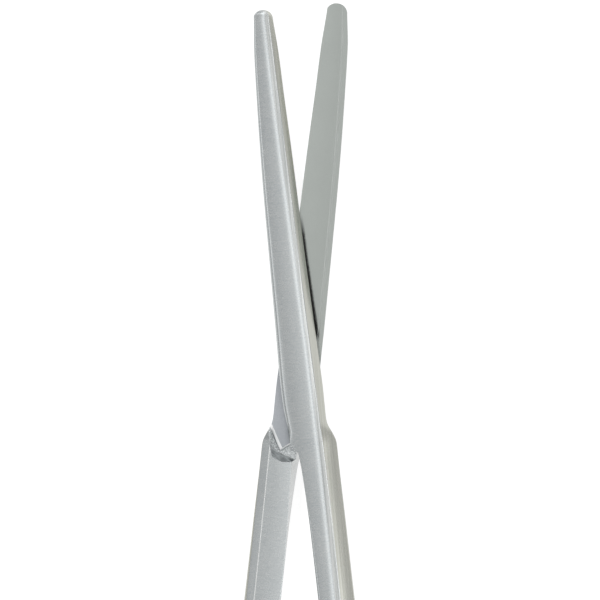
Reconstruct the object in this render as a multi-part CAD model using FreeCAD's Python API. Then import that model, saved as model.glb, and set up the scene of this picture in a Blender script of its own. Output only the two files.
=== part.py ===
import FreeCAD, Part
import math
import os

Vector = FreeCAD.Vector

# Dissecting scissors, lying on their back: X to the right, Y to the tips, Z up to the viewer.
# All lengths in millimetres. One half is drawn closed, with the pivot at the origin and
# the meeting plane of the two halves at z = 0, and is used twice.

# Main sizes, with the pair closed: from the front tip to the end of the rings, and from the
# pivot to each tip.
closed_length = 180.1
front_reach = 61.6
rear_reach = 62.65
half_opening_deg = 5.26
lap_gap = 0.05
back_flat = 2.30

screw_radius = 1.30
screw_clearance = 0.03
thread_radius = 1.10
thread_clearance = 0.01
head_radius = 1.90
head_rim = 0.35
head_cone = 0.60
slot_width = 0.55
slot_depth = 0.50
slot_turn_deg = 35.0

crown = 0.020
spine_round_share = 0.28
brow_drop = 0.24
edge_depth = 1.45
inner_bevel = 1.22
front_tip_width = 3.0
rear_tip_width = 3.3
front_spine_extra = -0.08
rear_spine_extra = 0.32
tip_round_share = 0.96
tip_height = 1.16
tip_edge_height = 0.30
nose_length = 1.3
hollow_depth = 0.35
spine_land = 0.85
hollow_lip = 0.30
pocket_depth = 0.30

blade_start = 8.0
head_end = -8.0
heel = (-1.82, -4.10)
crotch_y = -5.75
ground_from = -25.0
ground_to = 35.0

ring_centre_x = 18.2
ring_width = 22.5
ring_length = 28.0
ring_end_radius = 9.8
ring_lean_deg = 12.0
ring_bar_radius = 2.05
ring_height = 3.60
shank_in_ring = 6.0

# Half width, end and thickness of the blocks the head is cut with; all lie outside it.
clear_x = 9.0
clear_y = 70.0
clear_z = 4.0

# Blade: share of the way from blade_start to the tip, spine edge, ridge, brow, cutting edge,
# height, height of the edge land.
BLADE = [
    (1.0250, -1.36, 0.00, 0.80, 1.38, 1.05, 0.28),
    (0.9701, -1.50, 0.00, 0.86, 1.50, 1.15, 0.28),
    (0.8806, -1.88, 0.06, 1.02, 1.86, 1.35, 0.30),
    (0.7463, -2.14, 0.22, 1.27, 2.14, 1.55, 0.32),
    (0.6119, -2.32, 0.47, 1.52, 2.46, 1.72, 0.34),
    (0.4739, -2.42, 0.79, 1.78, 2.73, 1.87, 0.36),
    (0.3358, -2.43, 1.13, 2.01, 2.96, 2.00, 0.40),
    (0.2052, -2.43, 1.44, 2.23, 3.25, 2.12, 0.46),
    (0.0933, -2.44, 1.70, 2.45, 3.52, 2.23, 0.54),
    (0.0000, -2.46, 1.87, 2.63, 3.75, 2.32, 0.64),
]

# Joint: the same sizes at fixed places along Y, down to the start of the shank.
JOINT = [
    (4.5, -2.46, 1.97, 2.76, 3.90, 2.37, 0.74),
    (1.5, -2.37, 2.04, 2.87, 3.94, 2.40, 0.82),
    (-0.6, -2.17, 2.09, 2.93, 3.96, 2.40, 0.87),
    (-1.6, -2.06, 2.11, 2.96, 4.08, 2.40, 0.90),
    (-2.2, -2.00, 2.12, 2.98, 4.29, 2.40, 0.91),
    (-3.0, -1.92, 2.14, 3.01, 4.66, 2.40, 0.91),
    (-3.8, -1.85, 2.15, 3.05, 5.00, 2.40, 0.91),
    (-4.4, -1.80, 2.16, 3.07, 5.18, 2.39, 0.91),
    (-5.2, -1.72, 2.18, 3.10, 5.24, 2.38, 0.91),
    (-8.0, -1.45, 2.24, 3.20, 5.28, 2.36, 0.90),
]

# Shank: share of the way from head_end into the ring, inner edge above, inner edge below,
# ridge, brow, outer edge, inner-side ridge, height above, height of the bevel foot,
# depth below, depth of the lower foot, corner round, rolled corner of the inner side.
SHANK = [
    (0.0000, -0.46, 0.52, 2.24, 3.20, 5.28, 4.06, 2.36, 0.90, back_flat, edge_depth, 0.03, 0.50),
    (0.0282, -0.30, 0.48, 2.28, 3.26, 5.34, 4.09, 2.33, 0.89, 2.27, 1.42, 0.12, 0.60),
    (0.0904, -0.03, 0.30, 2.36, 3.38, 5.49, 4.13, 2.26, 0.85, 2.20, 1.36, 0.24, 0.60),
    (0.1582, 0.13, 0.20, 2.44, 3.49, 5.62, 4.19, 2.20, 0.80, 2.15, 1.30, 0.30, 0.56),
    (0.2316, 0.27, 0.28, 2.52, 3.58, 5.77, 4.28, 2.15, 0.76, 2.12, 1.25, 0.35, 0.52),
    (0.3390, 0.52, 0.52, 2.78, 3.82, 6.05, 4.55, 2.10, 0.72, 2.10, 1.20, 0.42, 0.50),
    (0.4746, 1.14, 1.14, 3.38, 4.38, 6.68, 5.18, 2.06, 0.70, 2.06, 1.15, 0.52, 0.55),
    (0.6102, 2.12, 2.12, 4.30, 5.24, 7.62, 6.12, 2.02, 0.68, 2.02, 1.12, 0.66, 0.66),
    (0.7458, 3.42, 3.42, 5.48, 6.36, 8.82, 7.34, 1.98, 0.70, 1.98, 1.10, 0.85, 0.85),
    (0.8588, 4.46, 4.46, 6.44, 7.22, 9.78, 8.24, 1.95, 0.76, 1.95, 1.06, 1.02, 1.02),
    (0.9379, 5.00, 5.00, 6.90, 7.60, 10.20, 8.50, 1.90, 0.80, 1.90, 1.00, 1.20, 1.20),
    (1.0000, 5.90, 5.90, 7.00, 7.50, 9.00, 8.00, 1.30, 0.50, 1.30, 0.60, 0.80, 0.80),
]


FRONT = {"reach": front_reach, "tip_width": front_tip_width, "spine_extra": front_spine_extra}
REAR = {"reach": rear_reach, "tip_width": rear_tip_width, "spine_extra": rear_spine_extra}


def ring_span(lean_deg):
    """From the middle of a ring to the lowest point of its bar, leaning by lean_deg."""
    bend = (ring_length / 2 - ring_end_radius) * math.cos(math.radians(lean_deg))
    return bend + ring_end_radius + ring_bar_radius


def ring_centre():
    return (ring_centre_x, front_reach - closed_length + ring_span(ring_lean_deg))


def head_rows(blade):
    """The head's sections for one blade; its spine side grows wider towards the tip."""
    rows = []
    for share, spine, *sizes in BLADE:
        y = blade_start + share * (blade["reach"] - blade_start)
        rows.append((y, spine - blade["spine_extra"] * math.sqrt(share), *sizes))
    return rows + JOINT


def shank_rows():
    length = ring_centre()[1] + shank_in_ring - head_end
    return [(head_end + row[0] * length,) + row[1:] for row in SHANK]


def curve(y, *points):
    """A straight edge through two (x, z) points, or a curved one with a middle control point."""
    poles = [Vector(x, y, z) for x, z in points]
    if len(poles) == 2:
        return Part.makeLine(*poles)
    bezier = Part.BezierCurve()
    bezier.setPoles(poles)
    return bezier.toShape()


def toward(start, end, distance):
    length = math.hypot(end[0] - start[0], end[1] - start[1])
    return (start[0] + (end[0] - start[0]) * distance / length,
            start[1] + (end[1] - start[1]) * distance / length)


def crown_at(x, ridge, height):
    return height - crown * (ridge - x) ** 2


def head_section(y, spine, ridge, brow, edge, height, land):
    """Crowned back with a rounded spine, narrow brow and bevel down to the cutting edge."""
    spine_round = spine_round_share * height
    shoulder = (spine + spine_round, crown_at(spine + spine_round, ridge, height))
    slope = 2 * crown * (ridge - shoulder[0])
    corner = (spine, shoulder[1] - slope * spine_round)
    wall_top = (spine, corner[1] - spine_round)
    top = (ridge, height)
    fall = (brow, height - brow_drop)
    inner_ridge = (edge - inner_bevel, -back_flat)
    return Part.Wire([
        curve(y, (spine, -back_flat), wall_top),
        curve(y, wall_top, corner, shoulder),
        curve(y, shoulder, ((shoulder[0] + ridge) / 2, height), top),
        curve(y, top, fall),
        curve(y, fall, (edge, land)),
        curve(y, (edge, land), (edge, -edge_depth)),
        curve(y, (edge, -edge_depth), inner_ridge),
        curve(y, inner_ridge, (spine, -back_flat)),
    ])


def shank_section(y, above, below, ridge, brow, edge, inner, height, foot, depth, low,
                  corner, rolled):
    """Crowned face, brow and bevel on the outer side, flat and bevel on the inner side."""
    left = (above, crown_at(above, ridge, height))
    face_start = (above + corner, crown_at(above + corner, ridge, height))
    base = (below, -depth)
    top = (ridge, height)
    fall = (brow, height - brow_drop)
    upper = (edge, foot)
    lower = (edge, -low)
    flat_end = (inner, -depth)
    ease = min(corner, 0.45 * (foot + low))
    wall_top = toward(left, base, corner)
    wall_foot = toward(base, left, rolled)
    return Part.Wire([
        curve(y, wall_foot, wall_top),
        curve(y, wall_top, face_start),
        curve(y, face_start, ((face_start[0] + ridge) / 2, height), top),
        curve(y, top, fall),
        curve(y, fall, toward(upper, fall, ease)),
        curve(y, toward(upper, fall, ease), toward(upper, lower, ease)),
        curve(y, toward(upper, lower, ease), toward(lower, upper, ease)),
        curve(y, toward(lower, upper, ease), toward(lower, flat_end, ease)),
        curve(y, toward(lower, flat_end, ease), flat_end),
        curve(y, flat_end, toward(base, flat_end, rolled)),
        curve(y, toward(base, flat_end, rolled), wall_foot),
    ])


def polygon(points, z):
    corners = [Vector(x, y, z) for x, y in points]
    return Part.makePolygon(corners + corners[:1])


def tapered(lower, low, upper, high):
    """A solid with straight sides between two outlines at different heights."""
    return Part.makeLoft([polygon(lower, low), polygon(upper, high)], True, True)


def tip_plan(blade):
    """Outline of the head from above, with the tip's two rounded corners."""
    reach, half_width = blade["reach"], blade["tip_width"] / 2
    radius = tip_round_share * half_width
    flat, centre_y, bend = half_width - radius, reach - radius, radius * math.sqrt(0.5)
    low, start = -clear_z, blade_start + (reach - blade_start) * 0.82
    left = Part.Arc(Vector(-half_width, centre_y, low), Vector(-flat - bend, centre_y + bend, low),
                    Vector(-flat, reach, low)).toShape()
    right = Part.Arc(Vector(flat, reach, low), Vector(flat + bend, centre_y + bend, low),
                     Vector(half_width, centre_y, low)).toShape()
    sides = Part.makePolygon([Vector(half_width, centre_y, low), Vector(clear_x, start, low),
                              Vector(clear_x, ground_from, low), Vector(-clear_x, ground_from, low),
                              Vector(-clear_x, start, low), Vector(-half_width, centre_y, low)])
    end = Part.makeLine(Vector(-flat, reach, low), Vector(flat, reach, low))
    outline = Part.Wire([left, end, right] + sides.Edges)
    return Part.Face(outline).extrude(Vector(0, 0, 2 * clear_z))


def tip_side(reach):
    """Outline of the head from the side, its end rounded down to the tip."""
    start = Vector(-clear_x, reach - nose_length, tip_height)
    end = Vector(-clear_x, reach, tip_edge_height)
    middle = Vector(-clear_x, reach - 0.3 * nose_length, 0.35 * tip_edge_height + 0.65 * tip_height)
    rest = Part.makePolygon([end, Vector(-clear_x, reach, -clear_z),
                             Vector(-clear_x, ground_from, -clear_z),
                             Vector(-clear_x, ground_from, clear_z),
                             Vector(-clear_x, reach - 6 * nose_length, clear_z), start])
    nose = Part.Arc(start, middle, end).toShape()
    return Part.Face(Part.Wire([nose] + rest.Edges)).extrude(Vector(2 * clear_x, 0, 0))


def hollow_grind(blade):
    """Shallow hollow in the blade's inner face, between the spine land and the cutting edge."""
    sections = []
    for y, spine, ridge, brow, edge, height, land in head_rows(blade)[:len(BLADE)]:
        start = spine + spine_land
        depth = hollow_depth * (edge - start) / (BLADE[-1][4] - BLADE[-1][1] - spine_land)
        if y == blade_start:
            depth = 0.02
        floor = lap_gap / 2
        middle = ((start + edge) / 2, floor + 2 * depth)
        lip = edge + hollow_lip
        sections.append(Part.Wire([
            curve(y, (start, floor), middle, (edge, floor)),
            curve(y, (edge, floor), (lip, floor - 0.4 * hollow_lip)),
            curve(y, (lip, floor - 0.4 * hollow_lip), (lip, -1)),
            curve(y, (lip, -1), (start, -1)),
            curve(y, (start, -1), (start, floor)),
        ]))
    return Part.makeLoft(sections, True, False)


def lap_cut():
    """Half the thickness taken away for the other half, down to the shoulder and the ramp."""
    lower = [(clear_x, -0.7), (4.60, -1.90), (3.98, -5.54), (3.45, -7.61), (0.17, -7.38),
             (-clear_x, -7.0), (-clear_x, clear_y), (clear_x, clear_y)]
    upper = [(clear_x, -0.7), (4.60, -1.90), (3.98, -4.90), (3.70, -5.50), (0.20, -6.80),
             (-clear_x, -6.9), (-clear_x, clear_y), (clear_x, clear_y)]
    return tapered(lower, -clear_z, upper, lap_gap / 2)


def relief_pocket():
    """Shallow relief milled past the end of the lap face, with sloped sides along its pad."""
    outline = [(4.45, -1.85), (2.41, -5.55), (0.88, -4.46), (-3.0, -1.70), (-clear_x, -1.70),
               (-clear_x, -6.9), (0.20, -6.80), (3.70, -5.50), (3.98, -4.90), (4.60, -1.90)]
    floor = [(4.55, -1.97), (2.48, -5.87), (0.75, -4.64), (-3.07, -1.92), (-clear_x, -1.92),
             (-clear_x, -6.9), (0.20, -6.80), (3.70, -5.50), (3.98, -4.90), (4.58, -1.99)]
    return tapered(outline, lap_gap / 2, floor, lap_gap / 2 + pocket_depth)


def heel_notch():
    """Frees the heel and the crotch on the shank's inner side."""
    corner, below = (-clear_x, heel[1]), (-clear_x, head_end - 1)
    upper = [heel, corner, below, (-0.59, head_end - 1), (-0.634, head_end), (-0.71, crotch_y)]
    lower = [heel, corner, below, (0.63, head_end - 1), (0.672, head_end), (0.77, crotch_y)]
    return tapered(lower, -3, upper, 3)


def head(blade):
    form = Part.makeLoft([head_section(*row) for row in head_rows(blade)], True, False, False, 3)
    form = form.common(tip_plan(blade)).common(tip_side(blade["reach"]))
    for cutter in (lap_cut(), relief_pocket(), hollow_grind(blade), heel_notch()):
        form = form.cut(cutter)
    return form


def shank():
    return Part.makeLoft([shank_section(*row) for row in shank_rows()], True, False, False, 3)


def ring_arc(centre, start, degrees):
    """Part of the ring's bar, turned about the upright axis through centre."""
    travel = Vector(0, 0, 1).cross(start.sub(centre))
    bar = Part.makeCircle(ring_bar_radius, start, travel)
    return Part.Face(Part.Wire([bar])).revolve(centre, Vector(0, 0, 1), degrees)


def finger_ring():
    """Oval of two end arcs and two flatter side arcs, its upper and lower faces ground flat."""
    half_width, half_length = ring_width / 2, ring_length / 2
    end_centre = half_length - ring_end_radius
    spare = half_width - ring_end_radius
    side_centre = (end_centre ** 2 - spare ** 2) / (2 * spare)
    side_radius = side_centre + half_width
    side_angle = math.degrees(math.atan2(end_centre, side_centre))
    joint_x = side_radius * math.cos(math.radians(side_angle)) - side_centre
    joint_y = side_radius * math.sin(math.radians(side_angle))
    ring = ring_arc(Vector(-side_centre, 0, 0), Vector(joint_x, -joint_y, 0), 2 * side_angle)
    for centre, start, degrees in (
            (Vector(0, end_centre, 0), Vector(joint_x, joint_y, 0), 180 - 2 * side_angle),
            (Vector(side_centre, 0, 0), Vector(-joint_x, joint_y, 0), 2 * side_angle),
            (Vector(0, -end_centre, 0), Vector(-joint_x, -joint_y, 0), 180 - 2 * side_angle)):
        ring = ring.fuse(ring_arc(centre, start, degrees))
    reach = half_length + 2 * ring_bar_radius
    faces = Part.makeBox(2 * reach, 2 * reach, ring_height,
                         Vector(-reach, -reach, -ring_height / 2))
    ring = ring.common(faces)
    ring.rotate(Vector(0, 0, 0), Vector(0, 0, 1), ring_lean_deg)
    ring.translate(Vector(*ring_centre(), 0))
    return ring


def half(blade):
    """One half in the closed position, its outer side facing up."""
    return head(blade).fuse(shank()).fuse(finger_ring())


def screw_hole():
    """Shoulder bore and countersink through the half that carries the screw's head."""
    bore = Part.makeCylinder(screw_radius + screw_clearance, 8, Vector(0, 0, -4))
    cone_top = -back_flat + head_rim + head_cone
    seat = Part.makeCone(head_radius + screw_clearance, screw_radius + screw_clearance,
                         head_cone, Vector(0, 0, cone_top - head_cone))
    rim = Part.makeCylinder(head_radius + screw_clearance, 2, Vector(0, 0, cone_top - head_cone - 2))
    return bore.fuse(seat).fuse(rim)


def thread_hole():
    return Part.makeCylinder(thread_radius + thread_clearance, 8, Vector(0, 0, -4))


def screw(front_skin):
    """Slotted countersunk shoulder screw; its end is ground off with the front half's face."""
    shoulder = Part.makeCylinder(screw_radius, back_flat + lap_gap / 2, Vector(0, 0, -back_flat))
    rim = Part.makeCylinder(head_radius, head_rim, Vector(0, 0, -back_flat))
    cone = Part.makeCone(head_radius, screw_radius, head_cone, Vector(0, 0, -back_flat + head_rim))
    end = Part.makeCylinder(thread_radius, 4, Vector(0, 0, 0)).common(front_skin)
    body = shoulder.fuse(rim).fuse(cone).fuse(end)
    slot = Part.makeBox(2 * head_radius + 1, slot_width, slot_depth,
                        Vector(-head_radius - 0.5, -slot_width / 2, -back_flat))
    slot.rotate(Vector(0, 0, 0), Vector(0, 0, 1), slot_turn_deg)
    return body.cut(slot)


def turned(shape, degrees):
    result = shape.copy()
    result.rotate(Vector(0, 0, 0), Vector(0, 0, 1), degrees)
    return result


def build():
    closed = half(FRONT)
    flipped = half(REAR)
    flipped.rotate(Vector(0, 0, 0), Vector(0, 1, 0), 180)
    ground_away = Part.makeBox(4 * clear_x, ground_to - ground_from, clear_z,
                               Vector(-2 * clear_x, ground_from, -back_flat - clear_z))
    front = turned(closed.cut(thread_hole()), half_opening_deg)
    rear = turned(flipped.cut(ground_away).cut(screw_hole()), -half_opening_deg)
    pin = screw(turned(closed, half_opening_deg))
    return {"front_half": front, "rear_half": rear, "pivot_screw": pin}


def tip_top(blade, turn):
    """How far up the page the opened blade's tip reaches above the pivot."""
    radius = tip_round_share * blade["tip_width"] / 2
    flat, centre_y = blade["tip_width"] / 2 - radius, blade["reach"] - radius
    return flat * math.sin(turn) + centre_y * math.cos(turn) + radius


def footprint_middle():
    """Halfway along Y between the longer blade's tip and the lowest points of the rings."""
    turn = math.radians(half_opening_deg)
    top = max(tip_top(FRONT, turn), tip_top(REAR, turn))
    x, y = ring_centre()
    bottom = x * math.sin(turn) + y * math.cos(turn) - ring_span(half_opening_deg + ring_lean_deg)
    return (top + bottom) / 2


def main():
    os.makedirs("parts", exist_ok=True)
    for name, shape in build().items():
        shape = shape.removeSplitter()
        shape.translate(Vector(0, -footprint_middle(), back_flat))
        shape.exportStep("parts/%s.step" % name)
        print(name, len(shape.Solids), shape.isValid(), round(shape.Volume, 1))


main()
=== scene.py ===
import bpy
import bmesh
import math
from mathutils import Matrix, Vector


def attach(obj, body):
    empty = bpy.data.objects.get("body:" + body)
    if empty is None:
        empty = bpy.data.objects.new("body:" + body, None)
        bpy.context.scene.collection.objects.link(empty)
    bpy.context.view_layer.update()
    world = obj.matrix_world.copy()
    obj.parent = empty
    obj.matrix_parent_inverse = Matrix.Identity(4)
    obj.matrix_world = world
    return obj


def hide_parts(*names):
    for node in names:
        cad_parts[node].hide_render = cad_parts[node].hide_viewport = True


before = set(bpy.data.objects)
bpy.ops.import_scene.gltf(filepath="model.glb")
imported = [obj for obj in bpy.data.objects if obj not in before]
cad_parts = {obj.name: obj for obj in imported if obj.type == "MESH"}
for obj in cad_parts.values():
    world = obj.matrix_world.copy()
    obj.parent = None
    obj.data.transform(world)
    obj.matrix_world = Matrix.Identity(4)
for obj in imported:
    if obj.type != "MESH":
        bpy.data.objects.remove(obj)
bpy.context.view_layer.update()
print("frame loaded")

mm = 0.001

# lengths in mm, angles in degrees
# each half is drawn closed, pivot at the origin, meeting plane at z = 0, outer side up
instrument = {
    "closedLength": 180.1,      # front tip to the end of the rings
    "pivotY": 26.9517,          # pivot from the middle of the opened pair
    "meetingZ": 2.30,           # meeting plane above the table
    "lapGap": 0.05,             # between the two lap faces
    "crown": 0.020,             # fall of the outer face, times the distance from the ridge squared
    "spineRound": 0.28,         # share of the height
    "browDrop": 0.24,           # brow below the ridge
    "edgeDepth": 1.45,          # foot of the outer edge, below the meeting plane
    "innerBevel": 1.22,         # width of the bevel on the inner side
    "backFlat": 2.30,           # underside, below the meeting plane
    "bladeStart": 8.0,
    "headEnd": -8.0,
    "noseLength": 1.3,
    "noseLow": 0.30,            # share of the height left at the very tip
    "nosePower": 2.2,
    "sharpAngle": 13,
    "groundArea": [(-20, -25), (20, -25), (20, 35), (-20, 35)],     # of the rear half's outer face
    "groundDepth": -8,
}

# turn opens a half, flip lays its outer side down; the rear's finish holds the two ends of its line
# of painted shade beside the front blade's cutting edge
halves = {
    "front": {
        "reach": 61.6, "tipWidth": 3.0, "spineExtra": -0.08, "turn": 5.26, "flip": False,
        "finish": {},
    },
    "rear": {
        "reach": 62.65, "tipWidth": 3.3, "spineExtra": 0.32, "turn": -5.26, "flip": True,
        "finish": {"shadeLine": [(2.75, 38.0), (0.25, 57.2)]},
    },
}

# share of the way from bladeStart to the tip, then x of spine, ridge, brow and cutting edge,
# height, edge land
bladeStations = [
    (1.0250, -1.36, 0.00, 0.80, 1.38, 1.05, 0.28),
    (0.9701, -1.50, 0.00, 0.86, 1.50, 1.15, 0.28),
    (0.8806, -1.88, 0.06, 1.02, 1.86, 1.35, 0.30),
    (0.7463, -2.14, 0.22, 1.27, 2.14, 1.55, 0.32),
    (0.6119, -2.32, 0.47, 1.52, 2.46, 1.72, 0.34),
    (0.4739, -2.42, 0.79, 1.78, 2.73, 1.87, 0.36),
    (0.3358, -2.43, 1.13, 2.01, 2.96, 2.00, 0.40),
    (0.2052, -2.43, 1.44, 2.23, 3.25, 2.12, 0.46),
    (0.0933, -2.44, 1.70, 2.45, 3.52, 2.23, 0.54),
    (0.0000, -2.46, 1.87, 2.63, 3.75, 2.32, 0.64),
]

# the same sizes after y
jointStations = [
    (4.5, -2.46, 1.97, 2.76, 3.90, 2.37, 0.74),
    (1.5, -2.37, 2.04, 2.87, 3.94, 2.40, 0.82),
    (-0.6, -2.17, 2.09, 2.93, 3.96, 2.40, 0.87),
    (-1.6, -2.06, 2.11, 2.96, 4.08, 2.40, 0.90),
    (-2.2, -2.00, 2.12, 2.98, 4.29, 2.40, 0.91),
    (-3.0, -1.92, 2.14, 3.01, 4.66, 2.40, 0.91),
    (-3.8, -1.85, 2.15, 3.05, 5.00, 2.40, 0.91),
    (-4.4, -1.80, 2.16, 3.07, 5.18, 2.39, 0.91),
    (-5.2, -1.72, 2.18, 3.10, 5.24, 2.38, 0.91),
    (-8.0, -1.45, 2.24, 3.20, 5.28, 2.36, 0.90),
]

# share of the way from headEnd into the ring, inner edge above, inner edge below, ridge, brow,
# outer edge, inner-side ridge, height above, bevel foot, depth below, lower foot, corner ease,
# rolled inner edge
shankStations = [
    (0.0000, -0.46, 0.52, 2.24, 3.20, 5.28, 4.06, 2.36, 0.90, 2.30, 1.45, 0.05, 0.06),
    (0.0282, -0.30, 0.48, 2.28, 3.26, 5.34, 4.09, 2.33, 0.89, 2.27, 1.42, 0.12, 0.06),
    (0.0904, -0.03, 0.30, 2.36, 3.38, 5.49, 4.13, 2.26, 0.85, 2.20, 1.36, 0.24, 0.08),
    (0.1582, 0.13, 0.20, 2.44, 3.49, 5.62, 4.19, 2.20, 0.80, 2.15, 1.30, 0.30, 0.12),
    (0.2316, 0.27, 0.28, 2.52, 3.58, 5.77, 4.28, 2.15, 0.76, 2.12, 1.25, 0.35, 0.22),
    (0.3390, 0.52, 0.52, 2.78, 3.82, 6.05, 4.55, 2.10, 0.72, 2.10, 1.20, 0.42, 0.5),
    (0.4746, 1.14, 1.14, 3.38, 4.38, 6.68, 5.18, 2.06, 0.70, 2.06, 1.15, 0.52, 0.55),
    (0.6102, 2.12, 2.12, 4.30, 5.24, 7.62, 6.12, 2.02, 0.68, 2.02, 1.12, 0.66, 0.66),
    (0.7458, 3.42, 3.42, 5.48, 6.36, 8.82, 7.34, 1.98, 0.70, 1.98, 1.10, 0.85, 0.85),
    (0.8588, 4.46, 4.46, 6.44, 7.22, 9.78, 8.24, 1.95, 0.76, 1.95, 1.06, 1.02, 1.02),
    (0.9379, 5.00, 5.00, 6.90, 7.60, 10.20, 8.50, 1.90, 0.80, 1.90, 1.00, 1.20, 1.2),
    (1.0000, 5.90, 5.90, 7.00, 7.50, 9.00, 8.00, 1.30, 0.50, 1.30, 0.60, 0.80, 0.8),
]

# heel, crotch and end of the head: y, inner edge above, inner edge below
heelEdge = [(-4.1, -1.82, -1.82), (-5.75, -0.71, 0.77), (instrument["headEnd"], -0.46, 0.52)]

fingerRing = {
    "centreX": 18.2, "width": 22.5, "length": 28.0, "endRadius": 9.8, "lean": 12.0,
    "barRadius": 2.05, "height": 3.60, "shankInside": 6.0, "pathSteps": 160, "barSteps": 36,
    "pathShare": 0.998,         # draws the path in a little, to stay inside the CAD box
}


def ringCentre():
    ring = fingerRing
    bend = (ring["length"] / 2 - ring["endRadius"]) * math.cos(math.radians(ring["lean"]))
    reach = bend + ring["endRadius"] + ring["barRadius"]
    return ring["centreX"], halves["front"]["reach"] - instrument["closedLength"] + reach


def headRows(half):
    rows = []
    for share, spine, *sizes in bladeStations:
        y = instrument["bladeStart"] + share * (half["reach"] - instrument["bladeStart"])
        rows.append((y, spine - half["spineExtra"] * math.sqrt(share), *sizes))
    return rows + jointStations


def shankRows():
    start = instrument["headEnd"]
    length = ringCentre()[1] + fingerRing["shankInside"] - start
    return [(start + row[0] * length,) + row[1:] for row in shankStations]


def bezier(a, b, c, steps):
    points = []
    for i in range(steps + 1):
        t = i / steps
        points.append(tuple((1 - t) ** 2 * p + 2 * t * (1 - t) * q + t * t * r
                            for p, q, r in zip(a, b, c)))
    return points


def straight(a, b, steps):
    return [tuple(p + (q - p) * i / steps for p, q in zip(a, b)) for i in range(steps + 1)]


def toward(a, b, distance):
    length = math.hypot(b[0] - a[0], b[1] - a[1])
    return (a[0] + (b[0] - a[0]) * distance / length, a[1] + (b[1] - a[1]) * distance / length)


def easedCorner(before, corner, after, ease, steps):
    return bezier(toward(corner, before, ease), corner, toward(corner, after, ease), steps)


def rowAt(rows, y):
    # cubic through the stations, one value for each column
    last = len(rows) - 1
    for i in range(last):
        if rows[i][0] >= y >= rows[i + 1][0]:
            break
    here, following = rows[i], rows[i + 1]
    before, after = rows[max(i - 1, 0)], rows[min(i + 2, last)]
    step = following[0] - here[0]
    t = (here[0] - y) / (here[0] - following[0])
    result = []
    for column in range(1, len(here)):
        p1, p2 = here[column], following[column]
        m1 = m2 = p2 - p1
        if before is not here:
            m1 = (p2 - before[column]) / (following[0] - before[0]) * step
        if after is not following:
            m2 = (after[column] - p1) / (after[0] - here[0]) * step
        result.append((2 * t ** 3 - 3 * t * t + 1) * p1 + (t ** 3 - 2 * t * t + t) * m1
                      + (3 * t * t - 2 * t ** 3) * p2 + (t ** 3 - t * t) * m2)
    return result


def crownAt(x, ridge, height):
    return height - instrument["crown"] * (ridge - x) ** 2


def linked(name, data):
    piece = bpy.data.objects.new(name, data)
    bpy.context.scene.collection.objects.link(piece)
    return piece


def faceOutwards(mesh, weld=0.0):
    # weld is the distance in metres within which points are joined
    work = bmesh.new()
    work.from_mesh(mesh)
    if weld:
        bmesh.ops.remove_doubles(work, verts=work.verts, dist=weld)
        bmesh.ops.dissolve_degenerate(work, dist=weld / 10, edges=work.edges)
    bmesh.ops.recalc_face_normals(work, faces=work.faces)
    work.to_mesh(mesh)
    work.free()


def gridObject(name, rings, regions):
    # closed rings of points joined by quads; regions gives the material index of each strip
    count, last = len(rings[0]), len(rings) - 1
    faces, slots = [], []
    for r in range(last):
        for i in range(count):
            j = (i + 1) % count
            faces.append((r * count + i, r * count + j, (r + 1) * count + j, (r + 1) * count + i))
            slots.append(regions[i])
    faces.append(tuple(range(count))[::-1])
    faces.append(tuple(range(last * count, (last + 1) * count)))
    slots += [regions[0], regions[0]]
    mesh = bpy.data.meshes.new(name)
    mesh.from_pydata([Vector(p) * mm for ring in rings for p in ring], [], faces)
    mesh.polygons.foreach_set("material_index", slots)
    faceOutwards(mesh)
    return linked(name, mesh)


def stackObject(name, layers, sides=0):
    # layers of (outline, z); sides is the material index of the side faces, the ends have 0
    rings = [[(x, y, z) for x, y in outline] for outline, z in layers]
    piece = gridObject(name, rings, [sides] * len(rings[0]))
    for polygon in piece.data.polygons[-2:]:
        polygon.material_index = 0
    return piece


def latheObject(name, profile, steps):
    # profile of (radius, z), first and last on the axis
    count = len(profile)
    points, faces = [], []
    for s in range(steps):
        turn = 2 * math.pi * s / steps
        points += [Vector((r * math.cos(turn), r * math.sin(turn), z)) * mm for r, z in profile]
        start, end = s * count, (s + 1) % steps * count
        for i in range(count - 1):
            faces.append((start + i, start + i + 1, end + i + 1, end + i))
    mesh = bpy.data.meshes.new(name)
    mesh.from_pydata(points, [], faces)
    faceOutwards(mesh, weld=1e-7)
    return linked(name, mesh)


def bakeModifiers(piece):
    bpy.context.view_layer.update()
    evaluated = piece.evaluated_get(bpy.context.evaluated_depsgraph_get())
    mesh = bpy.data.meshes.new_from_object(evaluated)
    old = piece.data
    piece.modifiers.clear()
    piece.data = mesh
    bpy.data.meshes.remove(old)


def combine(piece, tool, operation):
    modifier = piece.modifiers.new(operation.lower(), "BOOLEAN")
    modifier.operation = operation
    modifier.solver = "MANIFOLD"
    modifier.object = tool
    bakeModifiers(piece)
    bpy.data.objects.remove(tool)


# material index of each finish, in the order of finishTable
face, flank, inner, milled, wall, lapFace, bright, upperSide, flat, pocketFloor = range(10)

# how the corners of a section are shaped; a share keeps a rounding short on a narrow strip
sectionSizes = {
    "tipRadius": 0.96,          # of the tip's corners, as a share of half its width
    "taperRun": 8.0,            # before the corners, where the sides are held to a taper
    "taperSlope": 0.12,
    "browRoom": 0.10,           # least distance between brow and edge at the tip
    "fadeStart": -2.4,          # from here to the heel the spine grows sharp
    "fadeRun": 1.7,
    "leastRound": 0.05,
    "roundShare": 0.40,
    "bladeEase": 0.03,
    "bladeRolled": 0.05,
    "flatCrown": 0.24,          # on the inner side of the shank
    "easeShare": 0.45,
    "browRun": 0.75,            # distance from the ridge at which the brow has dropped fully
    "roll": 0.50,               # of the ridge, towards the spine
    "rollShare": 0.45,
    "browRoll": 0.34,           # of the ridge, towards the brow
    "browRollShare": 0.42,
    "browEase": 0.11,
    "innerEase": 0.09,
    "bevelCrown": 0.04,         # share of the bevel by which it bulges
    "wallShare": 0.80,          # part of the rolled inner edge that lies on the wall
}


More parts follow.
